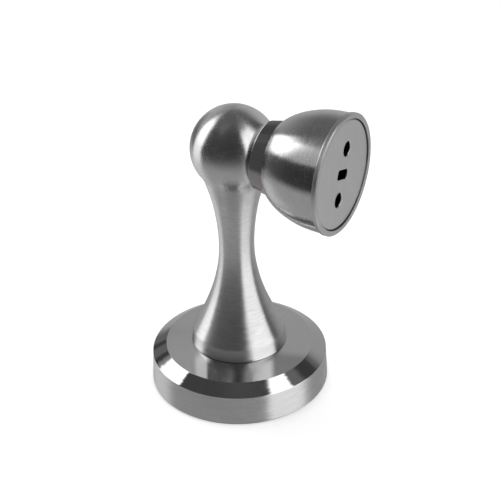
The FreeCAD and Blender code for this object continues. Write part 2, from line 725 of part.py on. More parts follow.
def bumper_ring():
    """Rubber ring that quiets the strike's return."""
    return on_catch_axis(turned("bumper_ring", [
        ("bumper_bore", "web_back"),
        ("bumper_radius - bumper_round", "web_back"),
        ("bumper_radius", "web_back + bumper_round"),
        ("bumper_radius", "bumper_back - bumper_round"),
        ("bumper_radius - bumper_round", "bumper_back"),
        ("bumper_bore", "bumper_back"),
    ]))


def spring_seat_washer():
    """Washer on the web that the buffer spring seats on."""
    return on_catch_axis(ring("spring_seat_washer", "spring_seat_bore", "spring_seat_radius",
                              "spring_seat_front", "web_front"))


def strike_disc():
    """Bevelled face, slightly tapered band, skirt that runs in the nose bore."""
    return on_catch_axis(turned("strike_disc", [
        ("0", "disc_face"),
        ("disc_face_radius", "disc_face"),
        ("disc_bevel_radius", "disc_bevel_station"),
        ("disc_radius", "disc_taper_end"),
        ("disc_radius", "disc_back"),
        ("disc_hollow", "disc_back"),
        ("disc_hollow", "disc_web"),
        ("disc_boss", "disc_web"),
        ("disc_boss", "disc_boss_end"),
        ("disc_tap", "disc_boss_end"),
        ("disc_tap", "disc_tap_end"),
        ("0", "disc_tap_end"),
    ]))


def strike_screw():
    """Shoulder screw: threaded into the disc's boss, guided by the bush."""
    body = turned("strike_screw", [
        ("0", "screw_tip"),
        ("screw_thread", "screw_tip"),
        ("screw_thread", "disc_boss_end"),
        ("screw_shank", "disc_boss_end"),
        ("screw_shank", "screw_seat"),
        ("screw_head_radius", "screw_seat"),
        ("screw_head_radius", "screw_end - screw_head_break"),
        ("screw_head_radius - screw_head_break", "screw_end"),
        ("0", "screw_end"),
    ])
    # the slot is drawn as long as the stop washer is wide, so it crosses the whole head
    sketch = new_sketch(body, "XY_Plane", "screw_slot_sketch", lift="screw_end")
    slot_outline(sketch, "screw_slot_half", "stop_radius")
    pocket(body, "screw_slot", sketch, depth="screw_slot_depth")
    return on_catch_axis(body)


def stop_washer():
    """Washer under the strike screw's head."""
    return on_catch_axis(ring("stop_washer", "stop_bore", "stop_radius",
                              "stop_front", "screw_seat"))


def spring_half_turn(index, rise_alias, low):
    """Half a torus that starts at station low, in a plane tilted by its rise."""
    rise = DIMS[rise_alias]
    half = doc.addObject("Part::Torus", "spring_half_turn_%02d" % index)
    half.setExpression(
        "Radius1",
        "sqrt(Dims.spring_mean * Dims.spring_mean + Dims.{0} * Dims.{0} / 4) * 1 mm".format(
            rise_alias))
    half.setExpression("Radius2", "Dims.spring_wire * 1 mm")
    half.Angle3 = 180
    side = 1.0 if index % 2 == 0 else -1.0
    across = Vector(side * DIMS["spring_mean"], 0, -rise / 2).normalize()
    along = Vector(0, side, 0)
    upright = across.cross(along)
    half.Placement = FreeCAD.Placement(FreeCAD.Matrix(
        across.x, along.x, upright.x, 0,
        across.y, along.y, upright.y, 0,
        across.z, along.z, upright.z, low + rise / 2,
        0, 0, 0, 1))
    return half


def buffer_spring():
    """Round wire in half turns; neighbours share the same end section. The first and
    last turn lie closed, one wire next to the other."""
    active = ["spring_mid_rise"] * (2 * int(DIMS["spring_turns"]))
    closed = ["spring_end_rise"] * 2
    low = DIMS["spring_front"] + DIMS["spring_wire"]
    half_turns = []
    for index, rise_alias in enumerate(closed + active + closed):
        half_turns.append(spring_half_turn(index, rise_alias, low))
        low += DIMS[rise_alias]
    spring = doc.addObject("Part::MultiFuse", "buffer_spring")
    spring.Label = "buffer_spring"
    spring.Shapes = half_turns
    turn = FreeCAD.Rotation(Vector(0, 1, 0), 90)
    spring.Placement = FreeCAD.Placement(Vector(0, 0, DIMS["ball_height"]), turn)
    return spring


# ---------------------------------------------------------------- build and export
BUILDERS = [
    base_flange, floor_plate, base_grub_screw, column, column_bolt,
    column_lock_washer, column_flat_washer, magnet_pole_cup, magnet_sleeve, magnet,
    catch_cup, mounting_plate, guide_bush, bumper_ring, spring_seat_washer,
    strike_disc, strike_screw, stop_washer, buffer_spring,
]
pieces = [build() for build in BUILDERS]
doc.recompute()

faults = []
for item in doc.Objects:
    for state in item.State:
        if state in ("Invalid", "Error"):
            faults.append("%s is %s" % (item.Name, state))
for piece in pieces:
    shape = piece.Shape
    if shape.isNull() or not shape.isValid() or not shape.Solids:
        faults.append("%s has no valid solid" % piece.Label)
if faults:
    raise RuntimeError("; ".join(faults))

os.makedirs("parts", exist_ok=True)
for piece in pieces:
    piece.Shape.exportStep("parts/%s.step" % piece.Label)
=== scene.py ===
"""Magnetic door stop: a floor column with a ball-shaped head that holds the magnet,
and the door's catch with its plate, buffer spring and strike disc.

Metres, +Z up. The column stands on the floor at the origin and is turned about Z.
The catch lies along X at the height CATCH_AXIS_Z, with its mounting plate at its +X end.
"""

import math
from functools import cached_property
from types import SimpleNamespace

import bmesh
import bpy
from mathutils import Matrix, Vector


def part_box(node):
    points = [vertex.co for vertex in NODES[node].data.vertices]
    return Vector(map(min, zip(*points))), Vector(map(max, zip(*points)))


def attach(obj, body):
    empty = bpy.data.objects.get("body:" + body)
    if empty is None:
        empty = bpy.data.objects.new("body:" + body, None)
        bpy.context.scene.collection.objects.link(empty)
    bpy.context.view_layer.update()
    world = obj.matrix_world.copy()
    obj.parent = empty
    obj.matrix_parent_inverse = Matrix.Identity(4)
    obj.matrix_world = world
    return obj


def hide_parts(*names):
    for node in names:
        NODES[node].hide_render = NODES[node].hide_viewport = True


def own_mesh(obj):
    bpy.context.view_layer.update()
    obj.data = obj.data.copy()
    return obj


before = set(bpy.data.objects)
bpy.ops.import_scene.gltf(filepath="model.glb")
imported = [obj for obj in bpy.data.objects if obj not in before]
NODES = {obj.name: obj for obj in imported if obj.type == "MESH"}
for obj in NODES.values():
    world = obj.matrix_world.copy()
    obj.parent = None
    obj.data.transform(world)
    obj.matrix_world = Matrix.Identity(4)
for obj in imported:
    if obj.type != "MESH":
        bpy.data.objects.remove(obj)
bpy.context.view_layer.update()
CATCH_AXIS_Z = 0.0742
MM_PER_METRE = 1000.0

scene = bpy.context.scene
scene.view_settings.view_transform = "Standard"
scene.view_settings.look = "None"
scene.view_settings.exposure = 0.0
scene.view_settings.gamma = 1.0
scene.cycles.use_denoising = True
scene.cycles.max_bounces = 12
scene.cycles.glossy_bounces = 8
scene.cycles.diffuse_bounces = 3
scene.cycles.caustics_reflective = True
scene.cycles.sample_clamp_indirect = 6.0
scene.cycles.blur_glossy = 0.0


# ------------------------------------------------------------------ shader arithmetic
def node_operator(operation, swapped=False):
    def apply(self, other):
        pair = (other, self) if swapped else (self, other)
        return self.graph.math(operation, *pair)

    return apply


class Value:
    """A node output. Arithmetic on it adds Math nodes; | takes the larger of two."""

    def __init__(self, graph, socket):
        self.graph = graph
        self.socket = socket

    __add__ = node_operator("ADD")
    __radd__ = node_operator("ADD", swapped=True)
    __sub__ = node_operator("SUBTRACT")
    __rsub__ = node_operator("SUBTRACT", swapped=True)
    __mul__ = node_operator("MULTIPLY")
    __rmul__ = node_operator("MULTIPLY", swapped=True)
    __truediv__ = node_operator("DIVIDE")
    __or__ = node_operator("MAXIMUM")

    def map_range(self, span, start, end, **settings):
        limits = {"From Min": span[0], "From Max": span[1], "To Min": start, "To Max": end}
        return self.graph.add("ShaderNodeMapRange", {"Value": self, **limits}, **settings)

    def above(self, start, end, low=0.0):
        """Mask: low up to start, rising smoothly to 1 at end."""
        return self.map_range((start, end), low, 1.0, interpolation_type="SMOOTHSTEP")

    def below(self, start, end):
        """Mask: 1 up to start, falling smoothly to 0 at end."""
        return 1.0 - self.above(start, end)

    def past(self, level, soft):
        if isinstance(level, Value):
            return (self - level).above(-soft, soft)
        return self.above(level - soft, level + soft)

    def band(self, low, high, soft):
        """Mask: 1 between low and high, with edges of half-width soft."""
        return self.past(low, soft) * (1.0 - self.past(high, soft))

    def ramp(self, span, start, end):
        """Goes straight from start to end as the value crosses the span."""
        return self.map_range(span, start, end, interpolation_type="LINEAR", clamp=True)

    def swing(self, span, amount):
        return self.ramp(span, -amount, amount)

    def pick(self, off, on):
        """With this value as a mask: off at 0, on at 1."""
        return self.graph.add("ShaderNodeMix", {0: self, 2: off, 3: on}, data_type="FLOAT")

    def pick_colour(self, off, on):
        ins = {0: self, 6: off, 7: on}
        return self.graph.add("ShaderNodeMix", ins, out=2, data_type="RGBA")

    def toward(self, target, mask):
        """This colour, going over to the target where the mask is 1."""
        return mask.pick_colour(off=self, on=target)

    def tone(self, dark, light):
        """A colour from a shade that varies about zero."""
        return self.graph.math("ADD", 0.5, self * 3.0, clamp=True).pick_colour(dark, light)

    def bump(self, strength, depth, normal=None):
        """A normal with this value as its height; depth is in metres."""
        ins = {"Height": self, "Strength": strength, "Distance": depth}
        if normal is not None:
            ins["Normal"] = normal
        return self.graph.add("ShaderNodeBump", ins)

    def comb(self, tangent, wave, tilt):
        """Tilts this normal along the brushing by a wave that changes from line to
        line, which frays the edges of reflections."""
        vector_math = self.graph.vector_math
        push = vector_math("SCALE", tangent, scale=(wave - 0.5) * tilt)
        return vector_math("NORMALIZE", vector_math("ADD", self, push))


class Graph:
    """Fills a node tree from nested calls."""

    def __init__(self, tree):
        self.tree = tree
        tree.nodes.clear()

    def add(self, kind, ins=None, out=0, **settings):
        row, column = divmod(len(self.tree.nodes), 12)
        node = self.tree.nodes.new(kind)
        node.location = (220 * column, -240 * row)
        for key, setting in settings.items():
            setattr(node, key, setting)
        for key, value in (ins or {}).items():
            if isinstance(value, Value):
                self.tree.links.new(value.socket, node.inputs[key])
            else:
                node.inputs[key].default_value = value
        return Value(self, node.outputs[out]) if len(node.outputs) else None

    def math(self, operation, *values, clamp=False):
        ins = dict(enumerate(values))
        return self.add("ShaderNodeMath", ins, operation=operation, use_clamp=clamp)

    def vector_math(self, operation, *vectors, scale=None, out=0):
        ins = dict(enumerate(vectors))
        if scale is not None:
            ins["Scale"] = scale
        return self.add("ShaderNodeVectorMath", ins, out=out, operation=operation)

    def split(self, vector):
        node = self.add("ShaderNodeSeparateXYZ", {0: vector}).socket.node
        return [Value(self, socket) for socket in node.outputs]

    def vector(self, x, y, z):
        return self.add("ShaderNodeCombineXYZ", {0: x, 1: y, 2: z})

    def object_place(self):
        return self.add("ShaderNodeTexCoord", out="Object")

    def place_mm(self):
        return self.vector_math("SCALE", self.object_place(), scale=MM_PER_METRE)

    def stretch(self, place, scale, location=(0, 0, 0), rotation=(0, 0, 0)):
        ins = {"Vector": place, "Location": location, "Rotation": rotation, "Scale": scale}
        return self.add("ShaderNodeMapping", ins)

    def noise(self, place, scale=1.0, detail=2.0, rough=0.5, fourth=None):
        ins = {"Vector": place, "Scale": scale, "Detail": detail, "Roughness": rough}
        if fourth is not None:
            ins["W"] = fourth
        dimensions = "3D" if fourth is None else "4D"
        return self.add("ShaderNodeTexNoise", ins, noise_dimensions=dimensions)


class Turned:
    """Coordinates in mm of a piece turned about Z, or about the catch axis along X."""

    def __init__(self, graph, axis):
        self.graph = graph
        self.axis = axis
        self.place = graph.place_mm()
        self.x, self.y, self.z = graph.split(self.place)
        if axis == "Z":
            self.across, self.rise, self.along = self.x, self.y, self.z
        else:
            self.across, self.along = self.y, self.x
            self.rise = self.z - CATCH_AXIS_Z * MM_PER_METRE
        squares = self.across * self.across + self.rise * self.rise
        self.radius = graph.math("SQRT", squares + 1e-5)

    @cached_property
    def cosine(self):
        return self.across / self.radius

    @cached_property
    def sine(self):
        return self.rise / self.radius

    @cached_property
    def tangent(self):
        return self.graph.add("ShaderNodeTangent", direction_type="RADIAL", axis=self.axis)

    def rings(self, period, arc, detail=2.0, rough=0.5, seed=0.0):
        """Noise drawn out along the turning direction. period is the ring spacing in
        mm; a larger arc makes the rings change faster round the piece."""
        place = self.graph.vector(
            self.graph.math("MULTIPLY_ADD", self.cosine, arc, seed),
            self.sine * arc,
            self.along / period,
        )
        fourth = self.radius / period
        return self.graph.noise(place, detail=detail, rough=rough, fourth=fourth)


def rgb(red, green, blue):
    return (red, green, blue, 1.0)


def grey(level):
    return rgb(level, level, level)


def new_material(name):
    material = bpy.data.materials.new(name)
    material.use_nodes = True
    return material, Graph(material.node_tree)


def soft_edges(graph, radius, samples):
    """Rounded normal (radius in metres), and a mask of the edges it rounds."""
    soft = graph.add("ShaderNodeBevel", {"Radius": radius}, samples=samples)
    normal = graph.add("ShaderNodeNewGeometry", out="Normal")
    agreement = graph.vector_math("DOT_PRODUCT", soft, normal, out="Value")
    return soft, (1.0 - agreement).above(0.0015, 0.05)


def gap_mask(graph, distance, start, end):
    """Mask of gaps within a distance in metres, from occlusion start to end."""
    light = graph.add(
        "ShaderNodeAmbientOcclusion", {"Distance": distance}, out="AO", samples=6, only_local=False
    )
    return (1.0 - light).above(start, end)


PRINCIPLED_INPUTS = {
    "colour": "Base Color",
    "metal": "Metallic",
    "rough": "Roughness",
    "aniso": "Anisotropic",
    "turn": "Anisotropic Rotation",
    "tangent": "Tangent",
    "normal": "Normal",
    "specular": "Specular IOR Level",
    "sheen": "Sheen Weight",
}


def principled(graph, **settings):
    ins = {PRINCIPLED_INPUTS[key]: value for key, value in settings.items()}
    shader = graph.add("ShaderNodeBsdfPrincipled", ins)
    graph.add("ShaderNodeOutputMaterial", {"Surface": shader})


def brushed_metal(graph, **settings):
    principled(graph, metal=1.0, turn=0.25, **settings)


def scratches(graph, place, scale, width, seed):
    """Sparse hairline marks in three directions, gated by a slow noise."""
    total = None
    for i, rotation in enumerate(((0.3, 0.9, 0.2), (1.2, 0.1, 0.7), (2.1, 1.4, 1.9))):
        drawn_out = graph.stretch(
            place,
            scale=(scale, scale * 0.045, scale),
            location=(seed + i * 7.3, seed * 0.7, i * 3.1),
            rotation=rotation,
        )
        ins = {"Vector": drawn_out, "Scale": 1.0}
        from_line = graph.add("ShaderNodeTexVoronoi", ins, feature="DISTANCE_TO_EDGE")
        line = from_line.below(0.0, width)
        shifted = graph.vector_math("ADD", place, (seed * 3.0 + i * 11.0, 4.0, 9.0))
        line = line * graph.noise(shifted, scale=0.33, detail=1.0).above(0.56, 0.62)
        total = line if total is None else total | line
    return total


# Part of a noise's range that is put to use: turned or brushed lines, and blotches
LINES = (0.25, 0.75)
BLOTCHES = (0.3, 0.7)
RING_DEPTH = 0.000010
NICK_DEPTH = -0.000020

STEEL_DARK = grey(0.553)
STEEL_LIGHT = rgb(0.743, 0.743, 0.744)
# light grey of the painted highlight along edges, also the colour of scratches
STEEL_HIGHLIGHT_AND_SCRATCH = grey(0.80)
# dark colour of dirt and painted shade in gaps and crevices
DIRT_AND_SHADE = rgb(0.045, 0.043, 0.041)
# painted shade for the unlit bore of the catch cup
DARK = grey(0.022)


def ring_bump(fine, coarse, strength, normal):
    return (fine * 0.5 + coarse * 0.8).bump(strength, RING_DEPTH, normal)


def hand_polish(
    piece, normal, nick, nick_strength, fray, fray_tilt, wide, wide_tilt, wave_scale, wave_strength
):
    """Adds nicks, frayed rings and soft waviness to a normal."""
    normal = nick.bump(nick_strength, NICK_DEPTH, normal)
    normal = normal.comb(piece.tangent, fray, tilt=fray_tilt)
    normal = normal.comb(piece.tangent, wide, tilt=wide_tilt)
    wave = piece.graph.noise(piece.place, scale=wave_scale, detail=1.0, rough=0.4)
    return wave.bump(wave_strength, depth=0.00005, normal=normal)


# ------------------------------------------------------------------ steel pieces
# Distances inside the materials are in mm.
def base_steel():
    """Base flange: brushed side, mirror chamfer, circular-brushed top."""
    material, graph = new_material("base_steel_finish")
    piece = Turned(graph, "Z")
    soft, edge = soft_edges(graph, radius=0.00014, samples=6)
    on_chamfer = piece.z.band(8.87, 11.43, soft=0.02) * piece.radius.above(20.70, 20.80)
    on_top = piece.z.above(11.41, 11.47) * piece.radius.below(20.74, 20.80)
    inside = piece.radius.below(20.4, 20.8) * piece.z.below(9.8, 10.2)

    def by_zone(side, chamfer, top):
        return on_chamfer.pick(off=on_top.pick(off=side, on=top), on=chamfer)

    fine = piece.rings(0.16, arc=3.0, detail=3.0, rough=0.6)
    coarse = piece.rings(0.75, arc=1.3, seed=5.0)
    wide = piece.rings(3.2, arc=0.7, detail=1.0, seed=9.0)
    grain = piece.rings(0.50, arc=7.0, detail=1.5, seed=13.0)
    fray = piece.rings(0.30, arc=2.2, rough=0.6, seed=3.0)
    smudge = graph.noise(piece.place, scale=0.11, rough=0.55)
    lines = fine * 0.6 + coarse * 0.4
    gap = gap_mask(graph, distance=0.0009, start=0.42, end=0.92)

    shade = lines.swing(LINES, 0.055) + smudge.swing(BLOTCHES, 0.02)
    side_only = 1.0 - (on_chamfer | on_top)
    shade = shade + grain.swing(LINES, 0.06) * side_only.pick(off=0.35, on=1.0)
    shade = shade * on_top.pick(off=on_chamfer.pick(off=1.0, on=0.25), on=0.45)
    colour = shade.tone(STEEL_DARK, STEEL_LIGHT)
    # painted highlight along the edges, and dirt with painted shade in the gaps
    colour = colour.toward(STEEL_HIGHLIGHT_AND_SCRATCH, edge * 0.55)
    colour = colour.toward(DIRT_AND_SHADE, gap * 0.75)
    # the wall darkens where it meets the table
    foot_shade = piece.z.below(0.15, 0.75) * (0.6 * piece.radius.above(23.5, 24.3))
    colour = colour.toward(grey(0.13), foot_shade)

    side_rough = 0.28 + lines.ramp(LINES, -0.05, 0.06)
    top_rough = 0.165 + lines.ramp(LINES, -0.012, 0.015)
    chamfer_rough = 0.035 + fine.ramp((0.45, 0.8), 0.0, 0.05)
    rough = by_zone(side=side_rough, chamfer=chamfer_rough, top=top_rough)
    rough = inside.pick(off=rough, on=0.42)
    rough = rough + smudge.above(0.52, 0.70) * 0.03
    rough = (edge * 0.6).pick(off=rough, on=0.16)
    rough = rough + gap * 0.3

    strength = by_zone(side=0.26, chamfer=0.008, top=0.05)
    normal = ring_bump(fine, coarse, strength, soft)
    fray_tilt = by_zone(side=0.12, chamfer=0.045, top=0.012)
    normal = normal.comb(piece.tangent, fray, tilt=fray_tilt)
    wide_tilt = by_zone(side=0.03, chamfer=0.012, top=0.008)
    normal = normal.comb(piece.tangent, wide, tilt=wide_tilt)
    aniso = by_zone(side=0.82, chamfer=0.35, top=0.93)
    brushed_metal(
        graph, colour=colour, rough=rough, aniso=aniso, tangent=piece.tangent, normal=normal
    )
    return material


def column_steel():
    """Column: brushed stem, polished ball head, flat face on the +X side of the head."""
    material, graph = new_material("column_steel_finish")
    piece = Turned(graph, "Z")
    soft, edge = soft_edges(graph, radius=0.00018, samples=6)
    on_ball = piece.z.above(62.5, 68.5)
    on_flat = piece.x.above(8.90, 8.945)
    on_foot = piece.z.below(15.2, 16.2)

    def near_edges():
        return on_foot | piece.x.above(8.3, 8.6)

    fine = piece.rings(0.17, arc=4.0, detail=3.0, rough=0.6)
    coarse = piece.rings(0.8, arc=1.6, seed=4.0)
    fray = piece.rings(0.30, arc=4.0, detail=2.5, rough=0.65, seed=8.0)
    wide = piece.rings(4.0, arc=0.8, detail=1.0, seed=2.0)
    grain = piece.rings(0.40, arc=3.5, detail=1.5, seed=13.0)
    smudge = graph.noise(piece.place, scale=0.16, detail=3.0, rough=0.6)
    nick = scratches(graph, piece.place, scale=0.30, width=0.022, seed=2.0) * on_ball
    lines = fine * 0.65 + coarse * 0.35
    gap = gap_mask(graph, distance=0.0006, start=0.50, end=0.95) * near_edges()

    shade = lines.swing(LINES, 0.09) * on_ball.pick(off=1.0, on=0.35)
    shade = shade + grain.swing(LINES, 0.085) * on_ball.pick(off=1.0, on=0.3)
    shade = shade + smudge.swing(BLOTCHES, 0.03)
    colour = shade.tone(grey(0.535), rgb(0.765, 0.765, 0.766))
    # painted highlight along the edges near the foot and the flat face, lighter scratches, and
    # dirt with painted shade in the gaps
    colour = colour.toward(STEEL_HIGHLIGHT_AND_SCRATCH, edge * 0.5 * near_edges())
    colour = colour.toward(STEEL_HIGHLIGHT_AND_SCRATCH, nick * 0.35)
    colour = colour.toward(DIRT_AND_SHADE, gap * 0.7)

    stem_rough = 0.335 + lines.ramp(LINES, -0.06, 0.07)
    ball_rough = 0.27 + smudge.ramp((0.35, 0.7), -0.02, 0.05)
    rough = on_ball.pick(off=stem_rough, on=ball_rough)
    rough = on_flat.pick(off=rough, on=0.30)
    rough = rough + nick * 0.12
    rough = rough + gap * 0.3

    normal = hand_polish(
        piece,
        ring_bump(fine, coarse, on_ball.pick(off=0.22, on=0.07), soft),
        nick,
        nick_strength=0.12,
        fray=fray,
        fray_tilt=on_ball.pick(off=0.075, on=0.06),
        wide=wide,
        wide_tilt=on_ball.pick(off=0.010, on=0.02),
        wave_scale=0.45,
        wave_strength=on_ball.pick(off=0.06, on=0.15),
    )
    aniso = on_ball.pick(off=0.88, on=0.80)
    brushed_metal(
        graph, colour=colour, rough=rough, aniso=aniso, tangent=piece.tangent, normal=normal
    )
    return material


def cup_steel():
    """Catch cup, with a matt rim at its +X end and painted shade in the bore behind the rim."""
    material, graph = new_material("cup_steel_finish")
    piece = Turned(graph, "X")
    soft, edge = soft_edges(graph, radius=0.00012, samples=6)
    on_rim = piece.along.above(31.22, 31.32)
    at_edges = piece.along.above(30.9, 31.2) | piece.along.below(14.2, 14.5)
    edge = edge * at_edges

    fine = piece.rings(0.15, arc=4.0, detail=3.0, rough=0.6)
    coarse = piece.rings(0.7, arc=1.6, seed=4.0)
    fray = piece.rings(0.30, arc=3.0, rough=0.6, seed=8.0)
    wide = piece.rings(3.5, arc=0.8, detail=1.0, seed=2.0)
    grain = piece.rings(0.42, arc=5.0, detail=1.5, seed=13.0)
    smudge = graph.noise(piece.place, scale=0.16, detail=3.0, rough=0.6)
    nick = scratches(graph, piece.place, scale=0.27, width=0.020, seed=6.0)
    lines = fine * 0.65 + coarse * 0.35
    gap = gap_mask(graph, distance=0.0006, start=0.50, end=0.95) * at_edges

    shade = lines.swing(LINES, 0.04) + smudge.swing(BLOTCHES, 0.025)
    shade = shade + grain.swing(LINES, 0.045)
    colour = shade.tone(STEEL_DARK, STEEL_LIGHT)
    # painted highlight along the cup's edges but not on the rim, lighter scratches, and dirt with
    # painted shade in the gaps
    colour = colour.toward(STEEL_HIGHLIGHT_AND_SCRATCH, edge * on_rim.pick(off=0.15, on=0.0))
    colour = colour.toward(STEEL_HIGHLIGHT_AND_SCRATCH, nick * 0.12)
    colour = colour.toward(DIRT_AND_SHADE, gap * 0.8)
    # painted shade, as no light gets into the bore and the closed chamber; it is painted less dark
    # between z 62.5 and 71 mm
    bore = piece.radius.below(15.10, 15.22) * piece.along.above(26.5, 27.5)
    bore = bore * (0.85 - 0.35 * piece.z.band(62.5, 71.0, soft=1.5))
    colour = colour.toward(DARK, bore)

    rough = 0.215 + lines.ramp(LINES, -0.02, 0.03)
    rough = rough + smudge.ramp((0.35, 0.7), -0.01, 0.02)
    rough = on_rim.pick(off=rough, on=0.44)
    rough = (edge * on_rim).pick(off=rough, on=0.55)
    rough = rough + nick * 0.10
    rough = rough + gap * 0.3

    normal = hand_polish(
        piece,
        ring_bump(fine, coarse, 0.08, soft),
        nick,
        nick_strength=0.08,
        fray=fray,
        fray_tilt=0.045,
        wide=wide,
        wide_tilt=0.018,
        wave_scale=0.40,
        wave_strength=0.05,
    )
    aniso = on_rim.pick(off=0.92, on=0.3)
    brushed_metal(
        graph, colour=colour, rough=rough, aniso=aniso, tangent=piece.tangent, normal=normal
    )
    return material


def plate_steel():
    """Mounting plate: straight brushing, nearly upright on the face."""
    material, graph = new_material("plate_steel_finish")
    piece = Turned(graph, "X")
    bevel = piece.radius.above(10.5, 11.5).pick(off=0.00050, on=0.00012)
    soft, edge = soft_edges(graph, radius=bevel, samples=8)
    lean = (math.radians(-4.0), 0, 0)
    fine_place = graph.stretch(piece.place, scale=(1.0, 6.5, 0.12), rotation=lean)
    fine = graph.noise(fine_place, detail=3.0, rough=0.62)
    coarse_place = graph.stretch(piece.place, scale=(1.0, 1.4, 0.05), rotation=lean)
    coarse = graph.noise(coarse_place)
    smudge = graph.noise(piece.place, scale=0.14, detail=3.0, rough=0.6)
    lines = fine * 0.6 + coarse * 0.4
    gap = gap_mask(graph, distance=0.0006, start=0.45, end=0.92)

    shade = lines.swing(LINES, 0.07) + smudge.swing(BLOTCHES, 0.03)
    colour = shade.tone(grey(0.600), rgb(0.785, 0.785, 0.786))
    # painted highlight along the edges and round the holes, and dirt with painted shade in the
    # gaps
    colour = colour.toward(STEEL_HIGHLIGHT_AND_SCRATCH, edge * 0.7)
    colour = colour.toward(DIRT_AND_SHADE, gap * 0.85)
    # painted shade: the hole walls and all below the face are painted dark reddish brown
    recess_shade = piece.along.below(32.06, 32.16)
    colour = colour.toward(rgb(0.085, 0.050, 0.046), recess_shade * 0.9)
    rough = 0.37 + lines.ramp(LINES, -0.05, 0.06)
    rough = (edge * 0.7).pick(off=rough, on=0.18)
    normal = lines.bump(0.22, depth=0.000012, normal=soft)
    upright = graph.vector(0.0, 0.0, 1.0)
    normal = normal.comb(upright, coarse, tilt=0.06)
    brushed_metal(graph, colour=colour, rough=rough, aniso=0.45, tangent=upright, normal=normal)
    return material


def strike_chrome():
    """Strike disc: fine-turned chrome, with a painted warm reflection on its lower part."""
    material, graph = new_material("strike_chrome_finish")
    piece = Turned(graph, "X")
    bevel = piece.along.above(10.0, 10.4).pick(off=0.00040, on=0.00012)
    soft, edge = soft_edges(graph, radius=bevel, samples=8)
    fine = piece.rings(0.14, arc=4.0, detail=3.0, rough=0.6)
    fray = piece.rings(0.30, arc=3.0, rough=0.6, seed=8.0)
    smudge = graph.noise(piece.place, scale=0.25, detail=3.0, rough=0.6)
    nick = scratches(graph, piece.place, scale=0.40, width=0.03, seed=12.0)
    gap = gap_mask(graph, distance=0.0005, start=0.6, end=0.98)

    # painted warm reflection in patches on the lower part of the disc
    warm_reflection = piece.z.below(68.5, 74.5) * smudge.above(0.35, 0.65, low=0.6)
    chrome, chrome_under_warm_reflection = rgb(0.47, 0.468, 0.468), rgb(0.50, 0.40, 0.365)
    colour = (warm_reflection * 0.85).pick_colour(off=chrome, on=chrome_under_warm_reflection)
    # painted highlight along the edges, and dirt with painted shade in the gaps
    colour = colour.toward(rgb(0.78, 0.775, 0.77), edge * 0.6)
    colour = colour.toward(DIRT_AND_SHADE, gap * 0.5)
    rough = 0.14 + smudge.ramp((0.4, 0.7), 0.0, 0.03)
    rough = rough + nick * 0.10
    normal = fine.bump(0.010, RING_DEPTH, soft)
    normal = nick.bump(0.04, NICK_DEPTH, normal)
    normal = normal.comb(piece.tangent, fray, tilt=0.015)
    brushed_metal(
        graph, colour=colour, rough=rough, aniso=0.85, tangent=piece.tangent, normal=normal
    )
    return material


# ------------------------------------------------------------------ small hardware
def plated(name, axis, light, dark, rough, mottle=0.5, ring=0.22):
    """Plated metal: mottle is the blotches per mm, ring the turning period in mm."""
    material, graph = new_material(name)
    piece = Turned(graph, axis)
    soft, edge = soft_edges(graph, radius=0.00010, samples=4)
    fine = piece.rings(ring, arc=3.0, rough=0.6)
    blotch = graph.noise(piece.place, scale=mottle, detail=4.0, rough=0.65)
    ins = {"Vector": piece.place, "Scale": mottle * 2.2}
    spangle = graph.add("ShaderNodeTexVoronoi", ins, out="Color", feature="F1")
    colour = (blotch * 0.7 + fine * 0.3).above(0.32, 0.68).pick_colour(off=dark, on=light)
    ins = {0: 0.07, 6: colour, 7: spangle}
    colour = graph.add("ShaderNodeMix", ins, out=2, data_type="RGBA", blend_type="OVERLAY")
    # painted highlight along the edges, and dirt with painted shade in the gaps
    colour = colour.toward(rgb(0.80, 0.79, 0.77), edge * 0.5)
    gap = gap_mask(graph, distance=0.0008, start=0.5, end=0.95)
    colour = colour.toward(DIRT_AND_SHADE, gap * 0.7)
    rough = rough + blotch.ramp(BLOTCHES, -0.07, 0.10)
    normal = fine.bump(0.15, depth=0.000015, normal=soft)
    normal = blotch.bump(0.10, depth=0.00004, normal=normal)
    brushed_metal(
        graph, colour=colour, rough=rough, aniso=0.3, tangent=piece.tangent, normal=normal
    )
    return material


def moulded(name, light, dark, rough, grain, sheen=0.0):
    """Plastic or rubber with a fine pebbled skin: grain is its scale per mm."""
    material, graph = new_material(name)
    place = graph.place_mm()
    soft, edge = soft_edges(graph, radius=0.00012, samples=4)
    mottle = graph.noise(place, scale=grain, detail=4.0, rough=0.6)
    cloud = graph.noise(place, scale=0.3)
    ins = {"Vector": place, "Scale": grain * 1.6}
    cells = graph.add("ShaderNodeTexVoronoi", ins, feature="SMOOTH_F1")
    colour = (mottle * 0.5 + cloud * 0.5).above(0.3, 0.7).pick_colour(off=dark, on=light)
    # lighter colour for a painted highlight along the edges
    edge_highlight = rgb(*[min(1.0, channel * 1.5 + 0.02) for channel in light[:3]])
    colour = colour.toward(edge_highlight, edge * 0.35)
    # dust and painted shade in the gaps
    dust_and_shade = gap_mask(graph, distance=0.0008, start=0.5, end=0.95)
    colour = colour.toward(rgb(0.06, 0.055, 0.05), dust_and_shade * 0.5)
    rough = rough + mottle.swing(BLOTCHES, 0.08)
    normal = cells.bump(0.25, depth=0.00005, normal=soft)
    normal = mottle.bump(0.15, depth=0.00003, normal=normal)
    principled(
        graph, colour=colour, metal=0.0, rough=rough, normal=normal, sheen=sheen, specular=0.45
    )
    return material


def give(material, *nodes):
    """Puts a material on every slot of the CAD nodes."""
    for node in nodes:
        for slot in NODES[node].material_slots:
            slot.link = "OBJECT"
            slot.material = material


